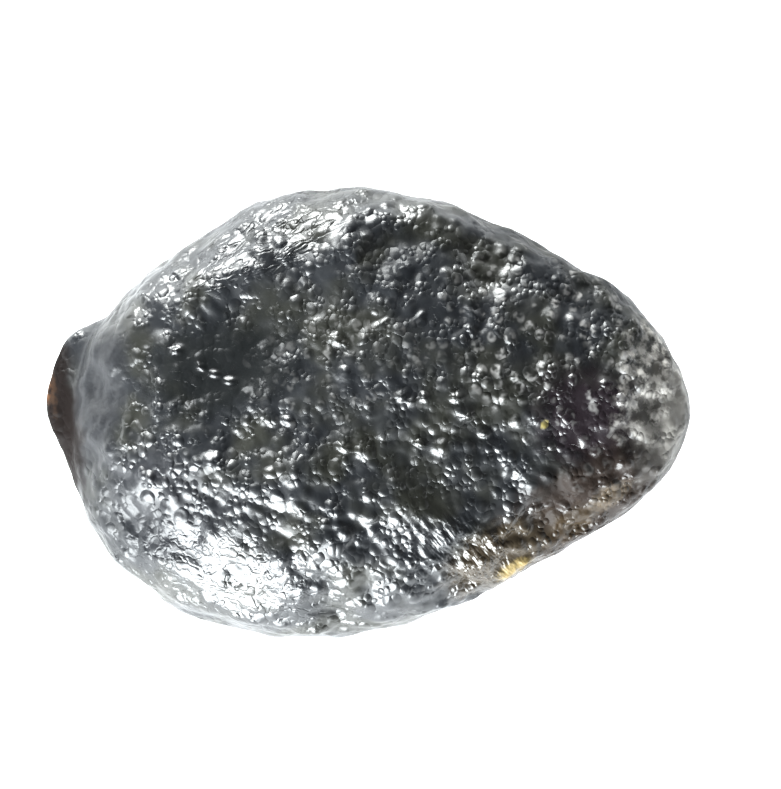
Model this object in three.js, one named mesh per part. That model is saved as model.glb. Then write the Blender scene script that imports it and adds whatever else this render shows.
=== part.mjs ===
// A raw australite: one piece of natural black glass, shaped like an egg on its side.
// It has a step at the blunt end, low lumps and hollows, two crests that bound a flat top,
// bundles of flow ridges and many shallow round dimples, and it rests on a small worn foot.
// Millimetres, +Z up. The tip points along +X. The origin is on the surface that the stone
// rests on, under the middle of its length and width.

import * as THREE from "three";
import { ImprovedNoise } from "three/addons/math/ImprovedNoise.js";
import { mergeVertices } from "three/addons/utils/BufferGeometryUtils.js";

// Driving dimensions
const LENGTH = 25.7;
const WIDTH = 18.1;
const RISE = 5.4; // from the widest section up to the top
const DROP = 6.6; // from the widest section down, before the foot is worn off
const TIP_LIFT = 1.3; // how much higher the widest section lies at the tip than at mid-length
const FAR_LIFT = 1.1; // and how much higher at the far side than at mid-width
const FOOT_WEAR = 0.16; // how much of the drop the flat foot takes away
const GLASS_COLOUR = 0x16171a;
const GLASS_ROUGHNESS = 0.22;

// The outline seen from above, without the ledge at the blunt end: headings in degrees,
// counter-clockwise from the tip, and the radius there.
const OUTLINE = [
  [0, 12.8],
  [16, 12.0],
  [38, 9.9],
  [64, 8.9],
  [94, 9.0],
  [122, 9.5],
  [146, 10.25],
  [166, 11.5],
  [197, 12.0],
  [218, 11.4],
  [248, 9.7],
  [280, 8.55],
  [312, 8.8],
  [328, 9.6],
  [345, 11.8],
];

// How square the sections are: 1 is an ellipse, and less has fuller shoulders.
const UPPER = { side: 0.92, height: 0.97 };
const UNDER = { side: 0.9, height: 1 };

// The top leans over towards the far side, away from the broad near slope.
const LEAN = new THREE.Vector2(0.9, 1.1);

// The ledge at the blunt end: a low lip that stands out past the upper part of the stone.
// It starts and ends at these headings, and fades out above and below between these
// elevations, all in degrees.
const LEDGE = {
  out: 1.1,
  starts: [159, 167],
  ends: [176, 200],
  over: [-4, 3],
  under: [-62, -22],
};

// Broad lumps (height over 0) and hollows (under 0) on the upper side, in plan.
const LUMPS = [
  { x: -5.0, y: -6.4, radius: 2.7, height: 0.5 }, // the near lobe
  { x: 1.6, y: -6.2, radius: 2.2, height: 0.26 }, // the swelling beside it
  { x: -9.2, y: -2.9, radius: 1.9, height: 0.22 }, // the near corner of the blunt end
  { x: -5.3, y: 1.6, radius: 3.2, height: -0.34 }, // the hollow in the flat top
  { x: -8.6, y: 2.6, radius: 1.8, height: 0.18 }, // the blunt end's shoulder
  { x: 3.4, y: 3.0, radius: 3.0, height: 0.16 },
  { x: 5.2, y: -1.6, radius: 2.4, height: -0.16 },
  { x: 9.6, y: 1.0, radius: 1.7, height: 0.16 }, // the swelling behind the tip
  { x: 8.0, y: -3.0, radius: 1.6, height: -0.14 },
];

// Crests (height over 0) and valleys (under 0) that follow a curve on the upper side, in plan.
const CRESTS = [
  {
    // the far edge of the flat top
    through: [[-10.4, 2.2], [-7.8, 4.6], [-3.4, 6.0], [0.9, 7.6], [3.6, 7.5]],
    width: 0.8,
    height: 0.26,
  },
  {
    // the near edge of the flat top
    through: [[-9.6, -0.7], [-5.6, -2.0], [-1.2, -2.6], [2.0, -3.9], [5.4, -6.4]],
    width: 0.8,
    height: 0.28,
  },
  {
    // the valley between the near lobe and the swelling beside it
    through: [[-3.4, -4.4], [-2.0, -6.2], [-0.9, -8.8]],
    width: 0.6,
    height: -0.34,
  },
];

// Bundles of flow ridges on the upper side: parallel ridges that run along a heading.
const RIDGE_BUNDLES = [
  { x: 3.8, y: -5.6, radius: 2.3, heading: -50, spacing: 1.1, height: 0.09 },
  { x: -8.4, y: -1.4, radius: 1.9, heading: -32, spacing: 1.1, height: 0.07 },
  { x: -10.2, y: 1.6, radius: 1.8, heading: 62, spacing: 1.2, height: 0.06 },
];

// Shallow round dimples all over, set along a spiral round the stone.
const DIMPLES = { count: 170, smallest: 0.6, largest: 1.15, depth: 0.2, jitter: 0.06 };

const { smoothstep, degToRad: radians, radToDeg: degrees } = THREE.MathUtils;
const noise = new ImprovedNoise();

// The outline's radius at an angle, on a smooth closed curve through OUTLINE.
const closedOutline = [-360, 0, 360].flatMap((turn) =>
  OUTLINE.map(([heading, radius]) => [heading + turn, radius]),
);
const outline = new THREE.CubicInterpolant(
  closedOutline.map(([heading]) => heading),
  closedOutline.map(([, radius]) => radius),
  1,
);
const outlineRadius = (angle) => outline.evaluate(degrees(angle))[0];

// How far the ledge stands out in a direction.
function ledgeOut(angle, elevation) {
  const heading = (degrees(angle) + 360) % 360;
  const height = degrees(elevation);
  const along = smoothstep(heading, ...LEDGE.starts) * (1 - smoothstep(heading, ...LEDGE.ends));
  const across = (1 - smoothstep(height, ...LEDGE.over)) * smoothstep(height, ...LEDGE.under);
  return LEDGE.out * along * across;
}

// The plain stone, with no relief, in a direction from its middle.
function plainPoint(direction) {
  const angle = Math.atan2(direction.y, direction.x);
  const elevation = Math.asin(THREE.MathUtils.clamp(direction.z, -1, 1));
  const half = elevation > 0 ? UPPER : UNDER;
  const out = Math.cos(elevation) ** half.side;
  const radius = (outlineRadius(angle) + ledgeOut(angle, elevation)) * out;
  const share = Math.sign(elevation) * Math.abs(Math.sin(elevation)) ** half.height;
  const lean = Math.max(share, 0) ** 1.5;
  const x = radius * Math.cos(angle);
  const y = radius * Math.sin(angle);
  const lift = TIP_LIFT * smoothstep(x, 0, LENGTH / 2) + FAR_LIFT * smoothstep(y, 0, WIDTH / 2);
  return new THREE.Vector3(
    x + LEAN.x * lean,
    y + LEAN.y * lean,
    share * (share > 0 ? RISE : DROP) + lift * (1 - share * share),
  );
}

// The way that the plain stone faces, in a direction from its middle.
function outwardIn(direction) {
  const halves = new THREE.Vector3(LENGTH / 2, WIDTH / 2, direction.z > 0 ? RISE : DROP);
  return direction.clone().divide(halves).normalize();
}

// A round bump of height 1 that fades to 0 at about its radius and a half.
const bump = (distance, radius) => Math.exp(-((distance / radius) ** 2));

const crests = CRESTS.map(({ through, width, height }) => {
  const curve = new THREE.SplineCurve(through.map(([x, y]) => new THREE.Vector2(x, y)));
  return { points: curve.getPoints(60), width, height };
});

function upperRelief(point) {
  const plan = new THREE.Vector2(point.x, point.y);
  let relief = 0;
  for (const { x, y, radius, height } of LUMPS)
    relief += height * bump(Math.hypot(plan.x - x, plan.y - y), radius);
  for (const { points, width, height } of crests) {
    const nearest = Math.min(...points.map((p) => p.distanceTo(plan)));
    relief += height * bump(nearest, width);
  }
  for (const { x, y, radius, heading, spacing, height } of RIDGE_BUNDLES) {
    const turn = radians(heading);
    const across = (plan.y - y) * Math.cos(turn) - (plan.x - x) * Math.sin(turn);
    const fade = bump(Math.hypot(plan.x - x, plan.y - y), radius);
    relief += height * fade * Math.cos((2 * Math.PI * across) / spacing);
  }
  return relief;
}

// Noise of height about 1, with lumps of the given size in mm.
const lumpy = (point, size, layer) =>
  noise.noise(point.x / size + layer, point.y / size, point.z / size) * 1.6;

// The dimples' centres and radii: a spiral of even spacing, shaken a little.
const dimples = Array.from({ length: DIMPLES.count }, (_, i) => {
  const height = 1 - (2 * (i + 0.5)) / DIMPLES.count;
  const turn = i * Math.PI * (3 - Math.sqrt(5));
  const around = Math.sqrt(1 - height * height);
  const shaken = new THREE.Vector3(
    around * Math.cos(turn) + DIMPLES.jitter * Math.sin(i * 12.9),
    around * Math.sin(turn) + DIMPLES.jitter * Math.sin(i * 78.2),
    height + DIMPLES.jitter * Math.sin(i * 37.7),
  ).normalize();
  const share = 0.5 + 0.5 * Math.sin(i * 91.7);
  const radius = THREE.MathUtils.lerp(DIMPLES.smallest, DIMPLES.largest, share ** 2);
  return { centre: plainPoint(shaken), radius };
});

function dimpleRelief(point) {
  let relief = 0;
  for (const { centre, radius } of dimples) {
    const share = point.distanceTo(centre) / radius;
    if (share < 1) relief -= DIMPLES.depth * radius * (1 - share * share);
  }
  return relief;
}

function surfacePoint(direction) {
  const point = plainPoint(direction);
  const upper = smoothstep(direction.z, 0, 0.35);
  const under = smoothstep(-direction.z, 0.1, 0.5);
  const clearOfFoot = smoothstep(direction.z, -0.99, -0.955);
  const relief =
    upperRelief(point) * upper +
    0.3 * lumpy(point, 4.6, 3.7) * under +
    0.12 * lumpy(point, 2.1, 9.1) +
    dimpleRelief(point);
  return point.addScaledVector(outwardIn(direction), relief * clearOfFoot);
}

// The stone's mesh: an even ball of triangles, each corner moved out to the surface.
const BALL_STEPS = 21;
// The ball's directions are drawn towards the tip and the blunt end by this much,
// so that the triangles come out about the same size all over the long stone.
const DRAW_TO_ENDS = new THREE.Vector3(1.38, 1.12, 0.86);

function stoneGeometry() {
  const ball = new THREE.IcosahedronGeometry(1, BALL_STEPS);
  ball.deleteAttribute("normal");
  ball.deleteAttribute("uv");
  const geometry = mergeVertices(ball, 1e-5);
  const position = geometry.getAttribute("position");
  const footLevel = -DROP + FOOT_WEAR;
  const direction = new THREE.Vector3();
  for (let i = 0; i < position.count; i++) {
    direction.fromBufferAttribute(position, i).multiply(DRAW_TO_ENDS).normalize();
    const point = surfacePoint(direction);
    position.setXYZ(i, point.x, point.y, Math.max(point.z - footLevel, 0));
  }
  geometry.computeBoundingBox();
  const middle = geometry.boundingBox.getCenter(new THREE.Vector3());
  geometry.translate(-middle.x, -middle.y, 0);
  geometry.computeVertexNormals();
  return geometry;
}

const glass = new THREE.MeshStandardMaterial({
  color: GLASS_COLOUR,
  roughness: GLASS_ROUGHNESS,
  metalness: 0,
});

const tektite = new THREE.Mesh(stoneGeometry(), glass);
tektite.name = "tektite";

const stone = new THREE.Group();
stone.add(tektite);

export default stone;
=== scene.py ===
"""A raw australite: one pitted piece of natural black glass, lying on a pale table.

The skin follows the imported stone's broad shape and adds what is too fine for the solid: etch
pits, knobs, furrows and flow ridges. The stone's lengths are in millimetres until its mesh is
made. The table's and the lamps' are in metres.
"""

import math

import bmesh
import bpy
import numpy as np
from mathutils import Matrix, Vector, kdtree, noise
from mathutils.bvhtree import BVHTree


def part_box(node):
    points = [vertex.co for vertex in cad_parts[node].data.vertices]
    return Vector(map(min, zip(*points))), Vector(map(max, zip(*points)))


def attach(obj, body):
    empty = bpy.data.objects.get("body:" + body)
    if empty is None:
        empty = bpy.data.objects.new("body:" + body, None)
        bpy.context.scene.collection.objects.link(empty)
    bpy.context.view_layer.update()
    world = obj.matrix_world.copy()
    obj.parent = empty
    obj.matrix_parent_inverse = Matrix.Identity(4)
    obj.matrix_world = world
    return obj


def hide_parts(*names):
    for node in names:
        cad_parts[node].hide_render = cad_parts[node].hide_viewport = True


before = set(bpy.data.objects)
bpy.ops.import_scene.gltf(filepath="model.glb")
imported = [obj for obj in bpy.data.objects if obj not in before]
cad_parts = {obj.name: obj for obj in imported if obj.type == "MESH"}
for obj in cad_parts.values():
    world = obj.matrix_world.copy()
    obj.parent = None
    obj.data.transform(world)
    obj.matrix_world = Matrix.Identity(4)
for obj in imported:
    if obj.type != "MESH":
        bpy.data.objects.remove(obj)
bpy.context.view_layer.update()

MM = 0.001
STONE = "tektite"
STONE_LOW, STONE_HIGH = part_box(STONE)
STONE_MIDDLE = (STONE_LOW + STONE_HIGH) / 2

# The photograph looks straight down, with the tip to the right. Its frame, in pixels:
FRAME_WIDE, FRAME_HIGH = 781, 789
STONE_PIXEL = (367.5, 413.0)  # the middle of the stone's outline
MM_PER_PIXEL = 0.04


def from_pixel(across, down):
    """A pixel's place on the stone in plan, in millimetres."""
    return (
        (across - STONE_PIXEL[0]) * MM_PER_PIXEL,
        (STONE_PIXEL[1] - down) * MM_PER_PIXEL,
    )


def oval(across, down, radii, heading, **more):
    """An oval place in plan: the pixel at its middle, its radii along a heading and across it."""
    return {"middle": from_pixel(across, down), "radii": radii, "heading": heading, **more}


# The skin's mesh
SKIN_STEPS = 127  # squares along each side of the cube that the skin's net starts from
DRAW_TO_ENDS = np.array([1.38, 1.12, 0.86])  # evens out the squares on the long stone
DRAW_UP = 0.2  # more of the squares go to the upper side
ROUNDING_PASSES = 3

# Some of what is set in plan is on the upper side only and fades in between two levels: the
# swellings and bold knobs, the flow ridges and the calm and bold places of the mesh, and the calm,
# bold and dull places of the glass. The rest goes all the way down.
SWELLINGS_START = (4, 7)
RELIEF_STARTS = (3, 5)
FINISHES_START = (3.5, 5.5)
FOOT_STARTS = (0.3, 0.05)  # the levels between which the worn foot fades in, downwards

# Broad swellings (height over 0) and hollows (under 0) that the skin adds, in plan
SWELLINGS = [
    {"middle": from_pixel(311, 545), "radius": 1.85, "height": 0.5},
    {"middle": from_pixel(355, 552), "radius": 1.8, "height": 0.12},
    {"middle": from_pixel(233, 577), "radius": 1.8, "height": -0.34},
    {"middle": from_pixel(239, 503), "radius": 1.8, "height": 0.1},
    {"middle": from_pixel(567, 490), "radius": 1.5, "height": 0.16},
]
LOW_WAVES = 0.06  # the height of the soft waves all over

# Single bold knobs on the flat top that catch the light
BOLD_KNOBS = [
    oval(339, 341, (0.62, 0.2), -30, height=0.21),
    oval(382, 325, (0.42, 0.16), 47, height=0.15),
    oval(419, 318, (0.36, 0.15), 43, height=0.15),
    oval(469, 313, (0.36, 0.17), -42, height=0.17),
    oval(471, 332, (0.36, 0.18), -35, height=0.17),
    oval(401, 396, (0.3, 0.24), 80, height=0.23),
    oval(411, 401, (0.26, 0.18), 0, height=0.19),
    oval(424, 397, (0.24, 0.22), 0, height=0.21),
    oval(455, 398, (0.27, 0.22), 0, height=0.23),
    oval(467, 415, (0.26, 0.2), 80, height=0.21),
    oval(484, 433, (0.28, 0.2), 0, height=0.21),
    oval(288, 420, (0.3, 0.2), -20, height=0.21),
    oval(202, 367, (0.24, 0.16), -40, height=0.14),
    oval(216, 374, (0.3, 0.18), -5, height=0.14),
    oval(231, 381, (0.3, 0.17), -5, height=0.13),
    oval(178, 351, (0.26, 0.16), 0, height=0.19),
    oval(345, 447, (0.32, 0.22), -25, height=0.23),
    oval(420, 442, (0.34, 0.2), -35, height=0.21),
]

# Wavy flow ridges: how far apart they are, and their height
FLOW_RIDGES = [
    oval(265, 235, (4.2, 1.2), 30, spacing=0.6, height=0.03),
    oval(300, 505, (4.0, 1.2), -22, spacing=0.8, height=0.03),
    oval(445, 545, (2.4, 1.4), -50, spacing=0.5, height=0.045),
    oval(105, 400, (2.8, 1.0), 72, spacing=0.5, height=0.02),
]
RIDGE_WAVER = 0.35  # how far they stray from straight

# Etch pits and the knobs between them: how many, their radii, and how deep or high they are for
# their radius
PITS = {"count": 240, "radius": (0.4, 0.9), "depth": 0.13, "seed": 3}
KNOBS = {
    "low": {"count": 1300, "radius": (0.3, 0.55), "depth": 0.13, "seed": 5},
    "round": {"count": 1500, "radius": (0.22, 0.42), "depth": 0.32, "seed": 8},
}
DEPTH_SPREAD = (0.55, 1.15)  # the depth of the shallowest and the deepest, for the usual one
# They are drawn out a little, most of them along the grain of the glass.
GRAIN_HEADING = -72
HEADING_SPREAD = 30
LONGEST = 1.5  # length for width

# Places where the pits and knobs are lower or taller, and the share of their height
CALM_AND_BOLD_PLACES = [
    oval(228, 588, (2.4, 1.3), -15, share=0.8),
    oval(100, 398, (3.6, 1.5), 78, share=0.3),
    oval(228, 368, (3.2, 2.2), 10, share=0.36),
    oval(350, 385, (4.4, 2.4), 0, share=0.9),
    oval(600, 500, (4.4, 1.9), 33, share=1.7),
    oval(165, 468, (3.4, 1.5), -20, share=1.4),
    oval(265, 240, (4.4, 1.2), 30, share=1.3),
    oval(560, 350, (5.0, 3.4), -32, share=1.3),
    oval(655, 395, (2.8, 1.6), 85, share=1.15),
    oval(600, 425, (2.4, 1.5), -30, share=0.7),
]
CALM_SIDES = 0.35  # the share of their height on the upright sides, so that the outline stays
BOLDNESS_DRIFT = 0.35  # how far their height drifts from place to place

# The finest knobs, for the bump: how wide the cells are that hold one each, and how high a knob
# is and how far it reaches for its cell
LARGE_KNOB, SMALL_KNOB = 0.48, 0.27
KNOB_RISE = 0.26
KNOB_REACH = (0.35, 0.7)
# They are drawn out a little along the grain, and downwards on the steep sides.
DRAWN_ALONG, DRAWN_DOWN = 0.88, 0.6

# Places with thin winding furrows, and the one with fine ridges: how far apart they are, the grain
# along which they are longer than wide, and by how much
FURROWS = [
    oval(225, 578, (5.2, 2.0), -16, apart=0.42, grain=-16, stretch=1.2),
    oval(275, 235, (4.8, 1.5), 28, apart=0.38, grain=30, stretch=2.2),
]
FINE_RIDGES = oval(475, 556, (2.6, 1.5), -35, apart=0.2, grain=-50, stretch=7)
FURROW_DEPTH = 0.018
RIDGE_HEIGHT = 0.12

# Sound glass: slate with olive clouds, and a roughness that drifts between two values
SLATE, OLIVE = (0.0078, 0.0088, 0.0104), (0.0112, 0.0115, 0.009)
GLASS_ROUGHNESS = (0.22, 0.38)
GLASS_REFRACTION = 1.5
DULL_ROUGHNESS, DULL_SHINE = 0.6, 0.05
# The colours of the finishes that lie over it in many small spots, and of the foot. The frost's
# pale blotches and the pale worn tops are partly a painted sheen on the knobs, and the pock colour
# is painted shade of small pits that also gives fine mottling.
FROST_AND_SHEEN = (0.36, 0.345, 0.32)
# painted shade: dark spots for the shade of small pits, also used for fine mottling
POCK_SHADE_AND_MOTTLING = (0.007, 0.0073, 0.0085)
# partly wear, partly painted sheen: the pale colour of the knob tops
WORN_TOP_AND_SHEEN = (0.2, 0.195, 0.19)
WORN_FOOT = (0.06, 0.06, 0.057)

# Places where the tops of the knobs are worn and painted pale, partly wear and partly a painted
# sheen, and how much
WORN_AND_SHEEN_PLACES = [
    oval(560, 350, (5.5, 3.6), -32, worn=0.6),
    oval(645, 375, (2.6, 1.3), 100, worn=0.8),
    oval(350, 375, (4.4, 2.8), 5, worn=0.28),
    oval(600, 485, (3.6, 2.0), 35, worn=0.12),
]
WORN_AND_SHEEN_ELSEWHERE = 0.03

# The tip is frosted in blotches, painted pale most of all on the knobs, which is partly a painted
# sheen.
FROSTED_TIP = oval(647, 378, (3.0, 1.5), 80)

# Places where the glass is worn dull, and how much
DULL_PLACES = [
    oval(596, 506, (5.2, 2.0), 33, dull=0.55),
    oval(668, 400, (3.4, 1.3), 86, dull=0.6),
    oval(570, 270, (6.4, 1.5), -37, dull=0.65),
    oval(397, 262, (2.2, 1.2), 25, dull=0.72),
    oval(550, 518, (0.8, 0.6), 10, dull=0.94),
    oval(566, 486, (1.9, 1.2), 10, dull=0.97),
    oval(98, 398, (3.6, 1.5), 78, dull=0.6),
    oval(228, 368, (3.2, 2.2), 10, dull=0.4),
    oval(130, 522, (2.8, 1.6), -42, dull=0.42),
]

# Patches where the glass is thin, stained or worn, and patches of painted light and shade: the
# hollow is coloured darker as painted shade, and the pale rim, the tan rim and the gold window are
# a painted glow for light coming through the thin glass. Those at the rim have a level and a half
# height too, and the others go all the way down.
PATCHES = {
    "blunt end": oval(96, 400, (3.8, 1.3), 76, colour=(0.0135, 0.0142, 0.016), roughness=0.36),
    "near corner": oval(
        165, 500, (3.4, 2.2), -30, colour=(0.0088, 0.0095, 0.0115), roughness=0.34
    ),
    # painted shade: the hollow's glass is coloured darker for the shade it lies in
    "hollow in painted shade": oval(228, 368, (3.4, 2.2), 10, colour=(0.005, 0.0057, 0.006), roughness=0.2),
    "dark purple": oval(600, 425, (3.2, 2.3), -30, colour=(0.0088, 0.006, 0.0078), roughness=0.22),
    "brown rim": oval(588, 510, (4.8, 2.3), 33, colour=(0.014, 0.0098, 0.0078), roughness=0.24),
    "frosted tip": oval(662, 405, (3.2, 1.5), 80, colour=(0.04, 0.037, 0.033), roughness=0.45),
    # painted light: the tip's thin rim is coloured pale for the glow it shows
    "pale rim of painted light": oval(
        672, 412, (2.4, 0.6), 84,
        level=9.2, half_height=2.8, colour=(0.15, 0.143, 0.13), roughness=0.5,
    ),
    "stained slope": oval(500, 554, (2.6, 1.3), 30, colour=(0.028, 0.021, 0.013), roughness=0.24),
    "tan stain": oval(572, 522, (1.2, 0.6), 35, colour=(0.02, 0.0125, 0.0055), roughness=0.3),
    # painted glow: the rim is coloured tan for light coming through the thin glass
    "tan rim of painted glow": oval(
        607, 496, (1.1, 0.45), 36,
        level=9.4, half_height=2.0, colour=(0.04, 0.029, 0.018), roughness=0.35,
    ),
    # painted glow: a gold spot for light coming through the thin glass
    "gold window of painted glow": oval(
        515, 569, (0.8, 0.42), 28,
        level=8.6, half_height=1.5, colour=(0.16, 0.118, 0.045), roughness=0.3,
    ),
    "yellow speck": oval(543, 424, (0.22, 0.14), 60, colour=(0.2, 0.165, 0.055), roughness=0.35),
}

# The ledge is dull and dark brown. Its edge is painted tan and orange, a painted glow for light
# coming through the thin glass. Each colour is broken up where soft noise lies between two values,
# and goes down to a level in millimetres.
LEDGE_PATCHES = {
    "ledge": oval(
        62, 430, (5.6, 0.9), 97,
        colour=(0.005, 0.0034, 0.003), broken_up=(0.0, 0.2), down_to=0.5,
    ),
    # painted glow: tan for light coming through the thin edge
    "tan edge of painted glow": oval(
        48, 375, (1.7, 0.28), 100,
        colour=(0.024, 0.014, 0.009), broken_up=(0.3, 0.6), down_to=4.0,
    ),
    # painted glow: orange for light coming through the thin edge
    "orange edge of painted glow": oval(
        47, 385, (0.9, 0.3), 98,
        level=5.8, half_height=0.55,
        colour=(0.062, 0.026, 0.0095), broken_up=(0.28, 0.68), down_to=4.6,
    ),
}

# The patches have frayed edges, with finer frays where the radius across is small.
NARROW_PATCH = 0.5
FINE_FRAY, BROAD_FRAY = 0.15, 0.7  # how wide the frays are
FRAY_STRAYS = 0.7  # how far they stray, as a share of the radii
PATCH_EDGE = (1.55, 0.85)  # where the edge starts and ends, as shares of the radii

# The soft lamps: how far away they stand, their width and height, and how bright each one is
LAMP_DISTANCE = 0.32
LAMPS = {
    "near_window": {
        "heading": -118, "elevation": 16, "size": (0.34, 0.22),
        "brightness": 38, "tint": (0.93, 0.98, 1),
    },
    "far_window": {
        "heading": 112, "elevation": 10, "size": (0.26, 0.14),
        "brightness": 44, "tint": (0.96, 0.99, 0.98),
    },
    "far_lamp": {
        "heading": 128, "elevation": 38, "size": (0.12, 0.09),
        "brightness": 16, "tint": (0.95, 0.99, 1),
    },
}
# The soft glow on the walls round each window: heading, elevation, how tight it is, and how bright
WINDOW_GLOWS = [(-118, 11, 5, 2.4), (108, 6, 6, 2.4)]
CEILING_GLOW, WALL_GLOW = 0.06, 0.46
ROOM_TINT = (0.95, 0.98, 1)

TABLE_REACH = 1.5
TABLE_WHITES = (0.86, 0.87, 0.88), (0.9, 0.9, 0.9)
TABLE_GLOW = 0.45

LENS_LENGTH, SENSOR_WIDTH = 600, 36  # the camera's, in millimetres


def smooth_step(values, start, end):
    """0 before start, 1 after end, and an even bend between them."""
    share = np.clip((values - start) / (end - start), 0, 1)
    return share * share * (3 - 2 * share)


def rounded_stone():
    """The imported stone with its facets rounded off, as a tree to cast rays at."""
    net = bmesh.new()
    net.from_mesh(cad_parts[STONE].data)
    bmesh.ops.remove_doubles(net, verts=net.verts, dist=1e-6)
    mesh = bpy.data.meshes.new("rounded_stone")
    net.to_mesh(mesh)
    net.free()
    form = bpy.data.objects.new("rounded_stone", mesh)
    bpy.context.scene.collection.objects.link(form)
    form.modifiers.new("rounding", "SUBSURF").levels = 2
    tree = BVHTree.FromObject(form, bpy.context.evaluated_depsgraph_get())
    bpy.data.objects.remove(form)
    bpy.data.meshes.remove(mesh)
    return tree


def net_of_squares():
    """A cube's net of even squares: the directions of its corners, and its squares."""
    net = bmesh.new()
    bmesh.ops.create_cube(net, size=2)
    bmesh.ops.subdivide_edges(net, edges=net.edges, cuts=SKIN_STEPS - 1, use_grid_fill=True)
    net.verts.ensure_lookup_table()
    corners = np.array([v.co for v in net.verts])
    squares = np.array([[v.index for v in f.verts] for f in net.faces])
    net.free()
    directions = np.tan(corners * math.pi / 4) * DRAW_TO_ENDS
    directions /= np.linalg.norm(directions, axis=1)[:, None]
    directions[:, 2] += DRAW_UP
    return directions, squares


def outward(points, squares):
    """The way the skin faces at each point, and the area of skin around it."""
    a, b, c, d = (points[squares[:, i]] for i in range(4))
    facing = np.cross(c - a, d - b) / 2
    total = np.zeros_like(points)
    area = np.zeros(len(points))
    for i in range(4):
        np.add.at(total, squares[:, i], facing)
        np.add.at(area, squares[:, i], np.linalg.norm(facing, axis=1) / 4)
    return total / np.linalg.norm(total, axis=1)[:, None], area


def rounded_off(points, squares, passes):
    """Moves each point halfway to the middle of its neighbours."""
    pairs = np.concatenate([squares[:, [i, (i + 1) % 4]] for i in range(4)])
    for _ in range(passes):
        total = np.zeros_like(points)
        count = np.zeros(len(points))
        for one, other in (pairs.T, pairs.T[::-1]):
            np.add.at(total, one, points[other])
            np.add.at(count, one, 1)
        points = (points + total / count[:, None]) / 2
    return points


def bare_skin():
    """The skin's points and its squares, before any pit."""
    directions, squares = net_of_squares()
    stone = rounded_stone()
    points = [stone.ray_cast(STONE_MIDDLE, Vector(way))[0] for way in directions]
    points = np.array(points) / MM
    return rounded_off(points, squares, ROUNDING_PASSES), squares


def waves(points, size, seed):
    """Soft noise between about -1 and 1, with swellings of the given size."""
    shift = Vector((seed * 17.3, seed * 5.1, seed * 9.7))
    return np.array([noise.noise(Vector(p) / size + shift) for p in points]) * 1.6


def along_and_across(points, kind):
    """How far each point is from an oval's middle in plan, along its heading and across it."""
    turn = math.radians(kind["heading"])
    x, y = (points[:, :2] - kind["middle"]).T
    return x * math.cos(turn) + y * math.sin(turn), y * math.cos(turn) - x * math.sin(turn)


def away_from(points, kind):
    """How far each point is from an oval's middle, as a share of its radii."""
    along, across = along_and_across(points, kind)
    return np.hypot(along / kind["radii"][0], across / kind["radii"][1])


def nearness(points, kind):
    """1 in the middle of an oval on the upper side, fading out over its radii."""
    return np.exp(-(away_from(points, kind) ** 3)) * smooth_step(points[:, 2], *RELIEF_STARTS)


def boldness(points):
    """How tall the pits and knobs are at each point, as a share of their usual height."""
    share = 1 + BOLDNESS_DRIFT * waves(points, 1.7, seed=4)
    for kind in CALM_AND_BOLD_PLACES:
        share = share * (1 - (1 - kind["share"]) * nearness(points, kind))
    return share


def swellings(points):
    """How high the swellings, the bold knobs and the flow ridges stand over the skin."""
    height = LOW_WAVES * waves(points, 1.3, seed=2)
    upper = smooth_step(points[:, 2], *SWELLINGS_START)
    for kind in SWELLINGS:
        away = np.hypot(*(points[:, :2] - kind["middle"]).T) / kind["radius"]
        height += kind["height"] * np.exp(-(away**2)) * upper
    for kind in BOLD_KNOBS:
        height += kind["height"] * np.maximum(1 - away_from(points, kind) ** 2, 0) * upper
    waver = RIDGE_WAVER * waves(points, 1.1, seed=6)
    for kind in FLOW_RIDGES:
        across = along_and_across(points, kind)[1] + waver
        ridges = np.cos(across * 2 * math.pi / kind["spacing"])
        height += kind["height"] * nearness(points, kind) * ridges
    return height


def bowls(points, area, tree, count, radius, depth, seed):
    """Depths of pits, or heights of knobs, as round bowls: where two meet, the deeper holds."""
    chance = np.random.default_rng(seed)
    chosen = chance.choice(len(points), count, p=area / area.sum())
    radii = chance.uniform(*radius, count)
    depths = depth * radii * chance.uniform(*DEPTH_SPREAD, count)
    headings = np.radians(chance.normal(GRAIN_HEADING, HEADING_SPREAD, count))
    lengths = chance.uniform(1, LONGEST, count)
    low = np.zeros(len(points))
    every_bowl = zip(points[chosen], radii, depths, headings, lengths)
    for middle, reach, deep, heading, length in every_bowl:
        near = np.array([index for _, index, _ in tree.find_range(middle, reach * length)])
        offset = points[near] - middle
        along = offset @ (math.cos(heading), math.sin(heading), 0)
        away = (offset**2).sum(axis=1) - along**2 * (1 - 1 / length**2)
        low[near] = np.maximum(low[near], deep * (1 - away / reach**2))
    return low


def pitted_skin():
    """The skin's points with all their relief, and its squares."""
    points, squares = bare_skin()
    facing, area = outward(points, squares)
    tree = kdtree.KDTree(len(points))
    for index, point in enumerate(points):
        tree.insert(point, index)
    tree.balance()
    relief = -bowls(points, area, tree, **PITS)
    for kind in KNOBS.values():
        relief += bowls(points, area, tree, **kind)
    upright = 1 - smooth_step(np.abs(facing[:, 2]), 0.1, 0.5)
    relief *= boldness(points) * (1 - (1 - CALM_SIDES) * upright)
    height = swellings(points) + relief
    points = rounded_off(points + facing * height[:, None], squares, 1)
    points[:, 2] = np.maximum(points[:, 2], 0)
    return points, squares


def stone_piece(material):
    """The stone that is seen: one skin of glass."""
    points, squares = pitted_skin()
    mesh = bpy.data.meshes.new("tektite_skin")
    mesh.from_pydata((points * MM).tolist(), [], squares.tolist())
    mesh.shade_smooth()
    mesh.materials.append(material)
    piece = bpy.data.objects.new("tektite_skin", mesh)
    bpy.context.scene.collection.objects.link(piece)
    return piece


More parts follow.
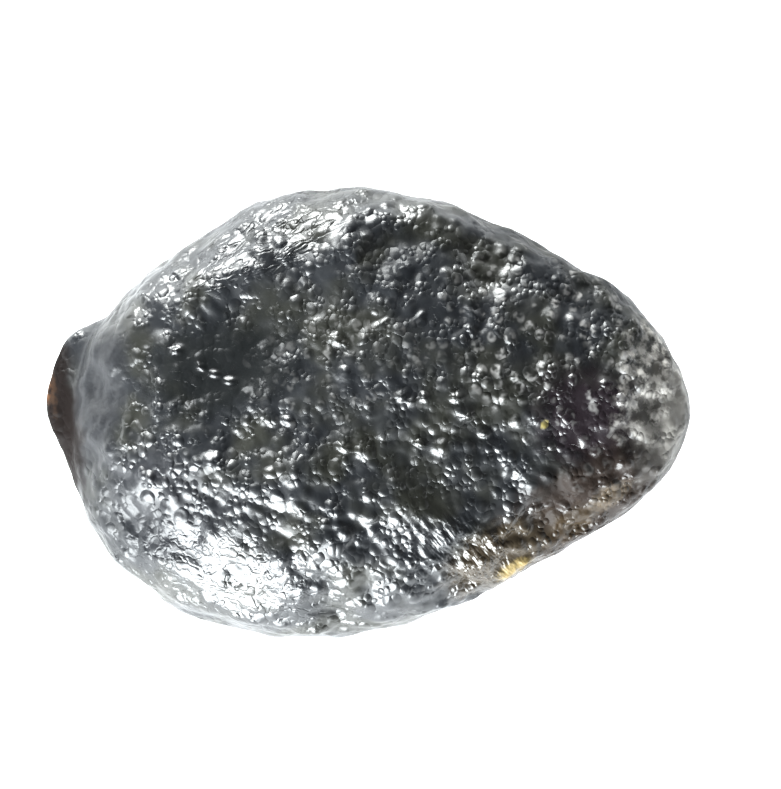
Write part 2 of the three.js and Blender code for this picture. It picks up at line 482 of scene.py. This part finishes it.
class Link:
    """One output of some shader nodes. Arithmetic on it adds the Math nodes."""

    def __init__(self, nodes, socket):
        self.nodes, self.socket = nodes, socket

    def __add__(self, other):
        return self.nodes.maths("ADD", self, other)

    def __sub__(self, other):
        return self.nodes.maths("SUBTRACT", self, other)

    def __rsub__(self, other):
        return self.nodes.maths("SUBTRACT", other, self)

    def __mul__(self, other):
        return self.nodes.maths("MULTIPLY", self, other)

    def __truediv__(self, other):
        return self.nodes.maths("DIVIDE", self, other)

    def __pow__(self, other):
        return self.nodes.maths("POWER", self, other)

    __radd__ = __add__
    __rmul__ = __mul__

    def output(self, name):
        """Another output of the same node."""
        return Link(self.nodes, self.socket.node.outputs[name])

    def at_least(self, other):
        return self.nodes.maths("MAXIMUM", self, other)

    def fade(self, start, end):
        """0 at start and before, 1 at end and after, with an even bend between."""
        settings = {"interpolation_type": "SMOOTHSTEP"}
        return self.nodes.add("MapRange", settings, {0: self, 1: start, 2: end})

    def between(self, low, high):
        """Low where this is 0 and high where it is 1."""
        return self * (high - low) + low


class Nodes:
    """The shader nodes of a material or a world."""

    def __init__(self, owner):
        owner.use_nodes = True
        self.owner, self.tree, self.made = owner, owner.node_tree, {}
        self.tree.nodes.clear()

    def add(self, kind, settings=None, sockets=None, output=0):
        """Adds a node and gives the output asked for."""
        made = self.tree.nodes.new("ShaderNode" + kind)
        for name, value in (settings or {}).items():
            setattr(made, name, value)
        for name, value in (sockets or {}).items():
            if isinstance(value, Link):
                self.tree.links.new(value.socket, made.inputs[name])
            else:
                made.inputs[name].default_value = value
        return Link(self, made.outputs[output]) if made.outputs else None

    def maths(self, operation, one, other=0.0):
        return self.add("Math", {"operation": operation}, {0: one, 1: other})

    def vector_maths(self, operation, one, other, output=0):
        return self.add("VectorMath", {"operation": operation}, {0: one, 1: other}, output)

    def mixed(self, under, over, share):
        """A colour with another over it. Plain colours are given as red, green and blue."""
        under, over = (
            value if isinstance(value, Link) else (*value, 1) for value in (under, over)
        )
        # A Mix node's inputs 6 and 7 and its output 2 are those for colours.
        return self.add("Mix", {"data_type": "RGBA"}, {0: share, 6: under, 7: over}, output=2)

    def millimetres(self):
        """The place on the piece, in millimetres."""
        place = self.add("TexCoord", output="Object")
        return self.add("VectorMath", {"operation": "SCALE"}, {0: place, "Scale": 1 / MM})

    def clouds(self, place, size, detail, roughness=0.5):
        """Noise from 0 to 1 with swellings of the given size."""
        sockets = {"Vector": place, "Scale": 1 / size, "Detail": detail, "Roughness": roughness}
        return self.add("TexNoise", None, sockets)

    def shared_clouds(self, place, size, detail):
        """Clouds that are made once and then used again."""
        if (size, detail) not in self.made:
            self.made[size, detail] = self.clouds(place, size, detail)
        return self.made[size, detail]


def turned(nodes, place, heading, middle=(0.0, 0.0, 0.0)):
    """The place, measured along a heading, across it and up from a middle."""
    sockets = {"Vector": place, "Center": middle, "Angle": -math.radians(heading)}
    about = nodes.add("VectorRotate", {"rotation_type": "Z_AXIS"}, sockets)
    return nodes.vector_maths("SUBTRACT", about, middle)


def patch(nodes, place, kind):
    """1 in an oval on the skin and 0 outside it, with a frayed edge.

    An oval with a level and a half height ends above and below too.
    """
    middle = (*kind["middle"], kind.get("level", 0.0))
    shift = turned(nodes, place, kind["heading"], middle)
    long, wide = kind["radii"]
    tall = kind.get("half_height", math.inf)
    share = nodes.vector_maths("MULTIPLY", shift, (1 / long, 1 / wide, 1 / tall))
    away = nodes.add("VectorMath", {"operation": "LENGTH"}, {0: share}, output="Value")
    fray = nodes.shared_clouds(place, FINE_FRAY if wide < NARROW_PATCH else BROAD_FRAY, 2)
    return (away + fray * FRAY_STRAYS).fade(*PATCH_EDGE)


def largest(nodes, place, kinds, key, least=0.0):
    """The largest value under a key among the ovals that a point lies in, or else the least."""
    share = least
    for kind in kinds:
        share = nodes.maths("MAXIMUM", patch(nodes, place, kind) * kind[key], share)
    return share


def pebbles(nodes, place, size):
    """Round knobs, one to a cell of the given size and as tall as their random reach allows."""
    away = nodes.add("TexVoronoi", None, {"Vector": place, "Scale": 1 / size})
    chance = nodes.add("SeparateColor", None, {0: away.output("Color")})
    reach = chance.between(*KNOB_REACH)
    return (1 - (away / reach) ** 2).at_least(0) * reach * (size * KNOB_RISE)


def drawn_out(nodes, place, kind):
    """The place, scaled so that noise of size 1 comes out longer along the grain and downwards."""
    scale = tuple(share / kind["apart"] for share in (1 / kind["stretch"], 1, DRAWN_DOWN))
    return nodes.vector_maths("MULTIPLY", turned(nodes, place, kind["grain"]), scale)


def bends_of_furrows(nodes, place, along_grain):
    """One noise for the furrows and the fine ridges, drawn out in its own way in each place.

    With it go the share of furrows and the share of fine ridges.
    """
    way, furrowed = along_grain, 0.0
    for kind in FURROWS:
        near = patch(nodes, place, kind)
        way = nodes.mixed(way, drawn_out(nodes, place, kind), near.fade(0.0, 0.02))
        furrowed = nodes.maths("MAXIMUM", near, furrowed)
    ridged = patch(nodes, place, FINE_RIDGES)
    way = nodes.mixed(way, drawn_out(nodes, place, FINE_RIDGES), ridged.fade(0.0, 0.02))
    return nodes.clouds(way, 1, 1.5), furrowed, ridged


def stained(nodes, place, colour, roughness):
    """The glass's colour and roughness, with the patches over them; some patches are painted shade
    and painted glow.
    """
    for kind in PATCHES.values():
        share = patch(nodes, place, kind)
        colour = nodes.mixed(colour, kind["colour"], share)
        roughness = roughness * (1 - share) + share * kind["roughness"]
    return colour, roughness


def frost_and_sheen(nodes, place, large_knobs):
    """The frosted blotches on the tip, most of them on the knobs, whose pale colour is partly a
    painted sheen.
    """
    blotches = nodes.clouds(place, 0.42, 3, 0.6).fade(0.42, 0.62)
    on_knobs = large_knobs.fade(0.0, 0.05).between(0.4, 1)
    return patch(nodes, place, FROSTED_TIP) * blotches * on_knobs


def pit_shade_and_mottling(nodes, place):
    """Dark spots that are painted shade of small pits, and fine mottling, on the blunt end."""
    facet = patch(nodes, place, PATCHES["blunt end"])
    dark = nodes.shared_clouds(place, 0.4, 3).fade(0.62, 0.7) * facet
    mottled = nodes.shared_clouds(place, 0.15, 2).fade(0.4, 0.62) * facet * 0.6
    return dark.at_least(mottled)


def with_ledge(nodes, place, level, colour):
    """The colour, with the ledge and its edges over it; the edges' tan and orange are a painted
    glow.
    """
    for kind in LEDGE_PATCHES.values():
        share = patch(nodes, place, kind)
        share = share * nodes.shared_clouds(place, 0.4, 3).fade(*kind["broken_up"])
        share = share * level.fade(kind["down_to"], kind["down_to"] + 1)
        colour = nodes.mixed(colour, kind["colour"], share)
    return colour


def tektite_glass():
    """Etched black glass, stained, frosted, dull and with wear in its places, with a bump all
    over. Some of its colour is painted light and shade: painted shade in a hollow and in small
    pits, a painted sheen on knob tops, and a painted glow at thin edges and rims.
    """
    nodes = Nodes(bpy.data.materials.new("tektite_glass"))
    place = nodes.millimetres()
    level = nodes.add("SeparateXYZ", None, {0: place}, output="Z")
    upper = level.fade(*FINISHES_START)
    foot = level.fade(*FOOT_STARTS)

    # The relief: knobs in two sizes, furrows and fine ridges
    along_grain = turned(nodes, place, GRAIN_HEADING)
    drawn = nodes.vector_maths("MULTIPLY", along_grain, (DRAWN_ALONG, 1.0, DRAWN_DOWN))
    large_knobs = pebbles(nodes, drawn, LARGE_KNOB)
    knobs = large_knobs.at_least(pebbles(nodes, drawn, SMALL_KNOB))
    bends, furrowed, ridged = bends_of_furrows(nodes, place, along_grain)
    furrow = nodes.maths("ABSOLUTE", bends - 0.5).fade(0.07, 0.0) * furrowed

    # How bold the relief is, and how worn its tops are; their pale colour is partly wear and
    # partly a painted sheen
    bold = 1.0
    for kind in CALM_AND_BOLD_PLACES:
        bold = bold * (1 - patch(nodes, place, kind) * upper * (1 - kind["share"]))
    worn = largest(nodes, place, WORN_AND_SHEEN_PLACES, "worn", WORN_AND_SHEEN_ELSEWHERE)
    worn = worn * nodes.clouds(place, 1.1, 2).fade(0.36, 0.6).between(0.15, 1.15)
    tops = large_knobs.fade(0.012, 0.055) * nodes.clouds(place, 0.3, 1).fade(0.42, 0.64)
    worn_tops = tops * worn * bold * (1 - furrow)

    # The colour and the roughness, with one finish over another; some are painted shade, painted
    # sheen and painted glow
    colour = nodes.mixed(SLATE, OLIVE, nodes.clouds(place, 2.2, 2).fade(0.4, 0.66))
    roughness = nodes.shared_clouds(place, 0.7, 2).between(*GLASS_ROUGHNESS)
    colour, roughness = stained(nodes, place, colour, roughness)
    # pale frost on the tip, partly a painted sheen on the knobs
    colour = nodes.mixed(colour, FROST_AND_SHEEN, frost_and_sheen(nodes, place, large_knobs))
    # painted shade of pits as dark spots, with fine mottling, on the blunt end
    colour = nodes.mixed(colour, POCK_SHADE_AND_MOTTLING, pit_shade_and_mottling(nodes, place))
    # pale knob tops: partly wear, partly a painted sheen
    colour = nodes.mixed(colour, WORN_TOP_AND_SHEEN, worn_tops)
    colour = with_ledge(nodes, place, level, colour)
    colour = nodes.mixed(colour, WORN_FOOT, foot)
    roughness = roughness + worn * 0.1 + worn_tops * 0.15 + foot * 0.35

    tall = nodes.clouds(place, 0.9, 1).fade(0.36, 0.6).between(0.12, 1.07)
    height = knobs * tall * (1 - furrowed * 0.35)
    height = height + bends * ridged * RIDGE_HEIGHT - furrow * FURROW_DEPTH
    bump = nodes.add("Bump", None, {"Strength": bold, "Distance": MM, "Height": height})

    # Shiny glass and dull glass, each in its own places
    looks = {"Base Color": colour, "Normal": bump}
    sockets = {**looks, "Roughness": roughness, "IOR": GLASS_REFRACTION}
    glass = nodes.add("BsdfPrincipled", None, sockets)
    sockets = {**looks, "Roughness": DULL_ROUGHNESS, "Specular IOR Level": DULL_SHINE}
    dull_glass = nodes.add("BsdfPrincipled", None, sockets)
    dull = largest(nodes, place, DULL_PLACES, "dull") * upper
    dull = dull.at_least(patch(nodes, place, LEDGE_PATCHES["ledge"]))
    shader = nodes.add("MixShader", None, {0: dull, 1: glass, 2: dull_glass})
    nodes.add("OutputMaterial", None, {"Surface": shader})
    return nodes.owner


def pale_table():
    """A wide white table that glows a little, as an overexposed one looks."""
    nodes = Nodes(bpy.data.materials.new("pale_table"))
    shade = nodes.clouds(nodes.millimetres(), 40, 2)
    colour = nodes.mixed(*TABLE_WHITES, shade)
    sockets = {"Base Color": colour, "Roughness": 0.8, "Emission Color": colour}
    shader = nodes.add("BsdfPrincipled", None, {**sockets, "Emission Strength": TABLE_GLOW})
    nodes.add("OutputMaterial", None, {"Surface": shader})
    mesh = bpy.data.meshes.new("table")
    signs = [(-1, -1), (1, -1), (1, 1), (-1, 1)]
    corners = [(x * TABLE_REACH, y * TABLE_REACH, 0) for x, y in signs]
    mesh.from_pydata(corners, [], [(0, 1, 2, 3)])
    mesh.materials.append(nodes.owner)
    table = bpy.data.objects.new("table", mesh)
    bpy.context.scene.collection.objects.link(table)


def direction(heading, elevation):
    """The direction of a heading and an elevation, which are in degrees."""
    turn, rise = math.radians(heading), math.radians(elevation)
    level = math.cos(rise)
    return Vector((math.cos(turn) * level, math.sin(turn) * level, math.sin(rise)))


def lamp(name, heading, elevation, size, brightness, tint):
    """A soft lamp that faces the stone. Its brightness is its radiance."""
    way = direction(heading, elevation)
    light = bpy.data.lights.new(name, "AREA")
    light.shape = "RECTANGLE"
    light.size, light.size_y = size
    light.energy = brightness * math.pi * size[0] * size[1]
    light.color = tint
    lamp_object = bpy.data.objects.new(name, light)
    lamp_object.location = STONE_MIDDLE + way * LAMP_DISTANCE
    lamp_object.rotation_euler = way.to_track_quat("Z", "Y").to_euler()
    lamp_object.visible_camera = False
    bpy.context.scene.collection.objects.link(lamp_object)


def room_light():
    """Pale walls, a dimmer ceiling, and a soft glow round each window."""
    nodes = Nodes(bpy.data.worlds.new("room"))
    bpy.context.scene.world = nodes.owner
    way = nodes.add("TexCoord", output="Generated")
    rise = nodes.add("SeparateXYZ", None, {0: way}, output="Z")
    strength = rise.fade(0.7, 0.0).between(CEILING_GLOW, WALL_GLOW)
    for heading, elevation, tightness, glow in WINDOW_GLOWS:
        window = tuple(direction(heading, elevation))
        towards = nodes.vector_maths("DOT_PRODUCT", way, window, output="Value")
        strength = strength + nodes.maths("EXPONENT", (towards - 1) * tightness) * glow
    light = nodes.add("Background", None, {"Color": (*ROOM_TINT, 1), "Strength": strength})
    nodes.add("OutputWorld", None, {"Surface": light})


def camera():
    """Straight down, at the photograph's scale."""
    lens = bpy.data.cameras.new("camera")
    lens.lens, lens.sensor_width, lens.sensor_fit = LENS_LENGTH, SENSOR_WIDTH, "AUTO"
    lens.clip_start = MM
    view_long = max(FRAME_WIDE, FRAME_HIGH) * MM_PER_PIXEL * MM
    distance = view_long * LENS_LENGTH / SENSOR_WIDTH
    aside = (FRAME_WIDE / 2 - STONE_PIXEL[0]) * MM_PER_PIXEL * MM
    ahead = (STONE_PIXEL[1] - FRAME_HIGH / 2) * MM_PER_PIXEL * MM
    eye = bpy.data.objects.new("camera", lens)
    eye.location = STONE_MIDDLE + Vector((aside, ahead, distance))
    bpy.context.scene.collection.objects.link(eye)
    bpy.context.scene.camera = eye


camera()
pale_table()
room_light()
for name, look in LAMPS.items():
    lamp(name, **look)
bpy.context.scene.view_settings.view_transform = "Standard"

stone = stone_piece(tektite_glass())
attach(stone, "root")
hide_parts(STONE)
